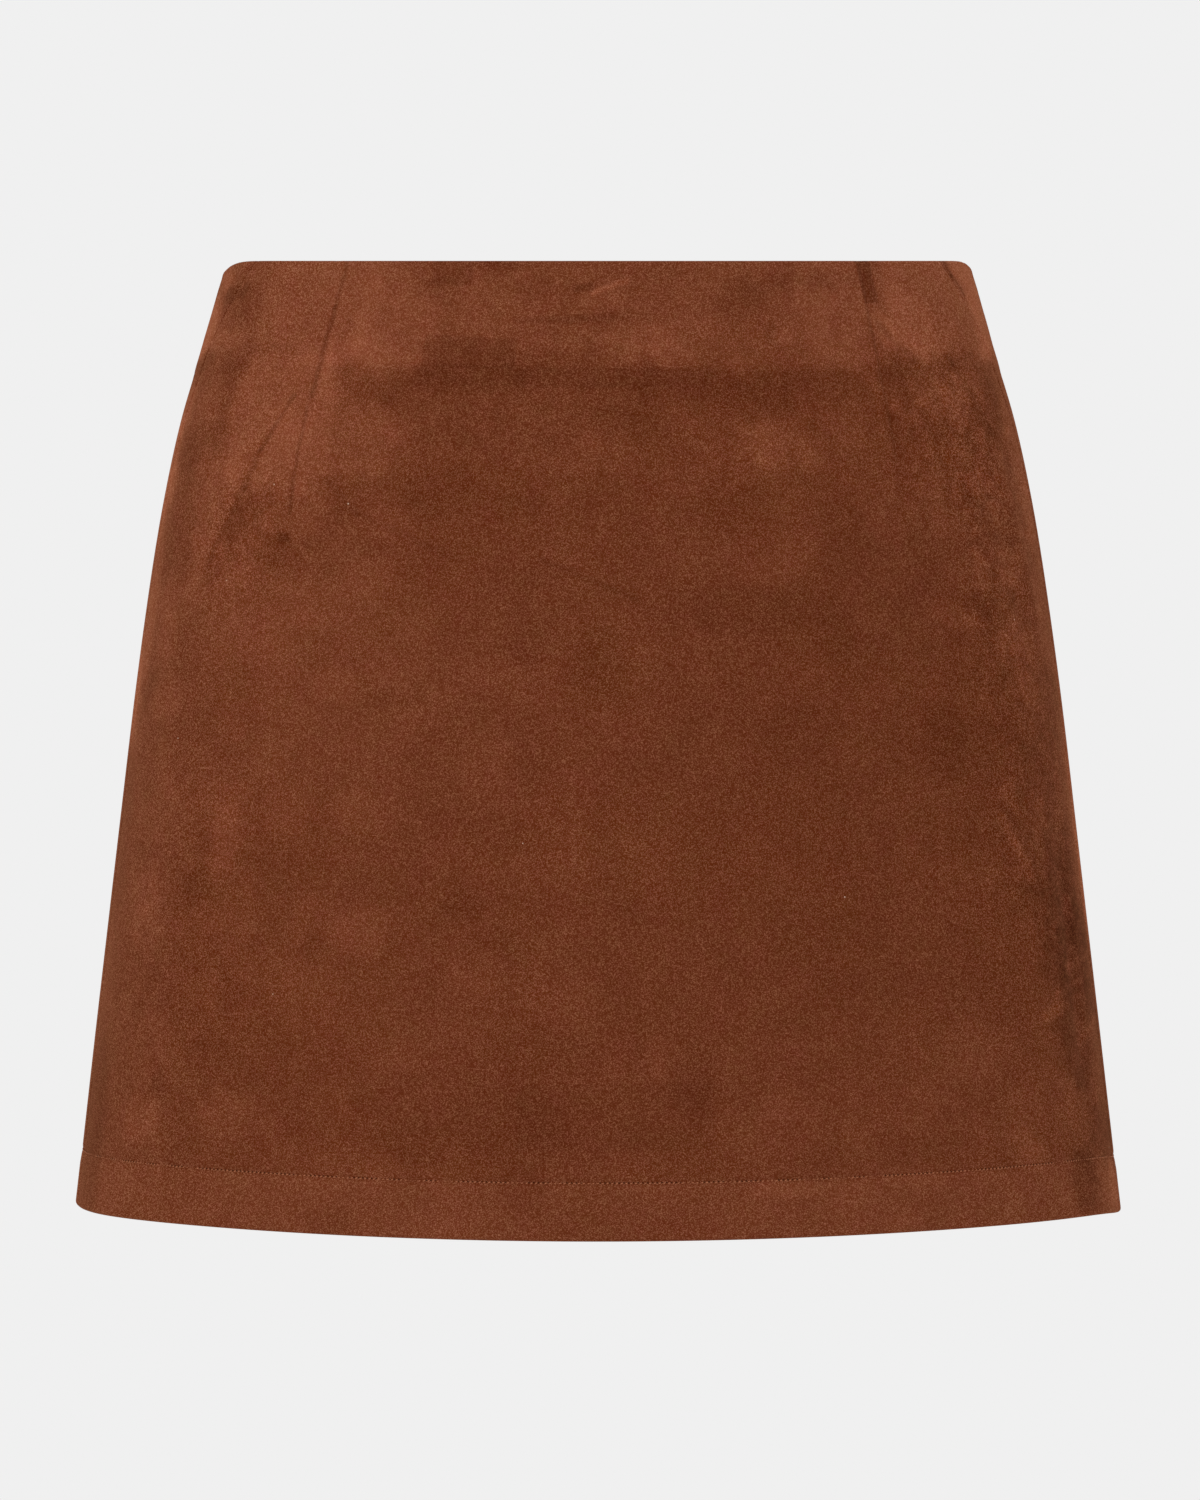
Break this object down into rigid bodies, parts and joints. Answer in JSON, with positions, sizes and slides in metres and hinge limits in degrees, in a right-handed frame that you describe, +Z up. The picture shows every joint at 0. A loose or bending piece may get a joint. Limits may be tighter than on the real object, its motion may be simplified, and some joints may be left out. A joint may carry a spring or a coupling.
{
  "type": "skort",
  "caption": "A-line mini skort of faux suede, worn form: darted high waist, faced edge, wide stitched hem, sewn-in jersey shorts and a concealed centre back zip.",
  "frame": {"origin": "middle of the waist opening, level with the waist edge, where the wearer's waist holds the garment", "axes": "+Z up out of the waist opening; +X towards the wearer's left side; -Y out of the centre front, +Y out of the centre back and its zip"},
  "size_m": [0.3894, 0.2779, 0.3566],
  "materials": {
    "suede": "brown faux suede, brushed nap, matte with a soft sheen at grazing angles",
    "facing_cloth": "brown woven facing, matte",
    "jersey": "brown fine jersey knit, matte",
    "zip_tape": "brown woven zip tape, matte",
    "zip_metal": "zinc alloy, lacquered brown, satin"
  },
  "bodies": {
    "garment": {"skirt_front": "suede", "skirt_back_left": "suede", "skirt_back_right": "suede", "facing_front": "facing_cloth", "facing_back_left": "facing_cloth", "facing_back_right": "facing_cloth", "shorts_left": "jersey", "shorts_right": "jersey", "zip_tape_left": "zip_tape", "zip_tape_right": "zip_tape", "zip_slider": "zip_metal"},
    "zip_pull": {"zip_pull_tab": "zip_metal"}
  },
  "joints": [
    {"name": "pull_tab_hinge", "type": "hinge", "parent": "garment", "child": "zip_pull", "pos_m": [0, 0.10394, -0.01148], "axis": [1, 0, 0], "range_deg": [0, 150]}
  ]
}
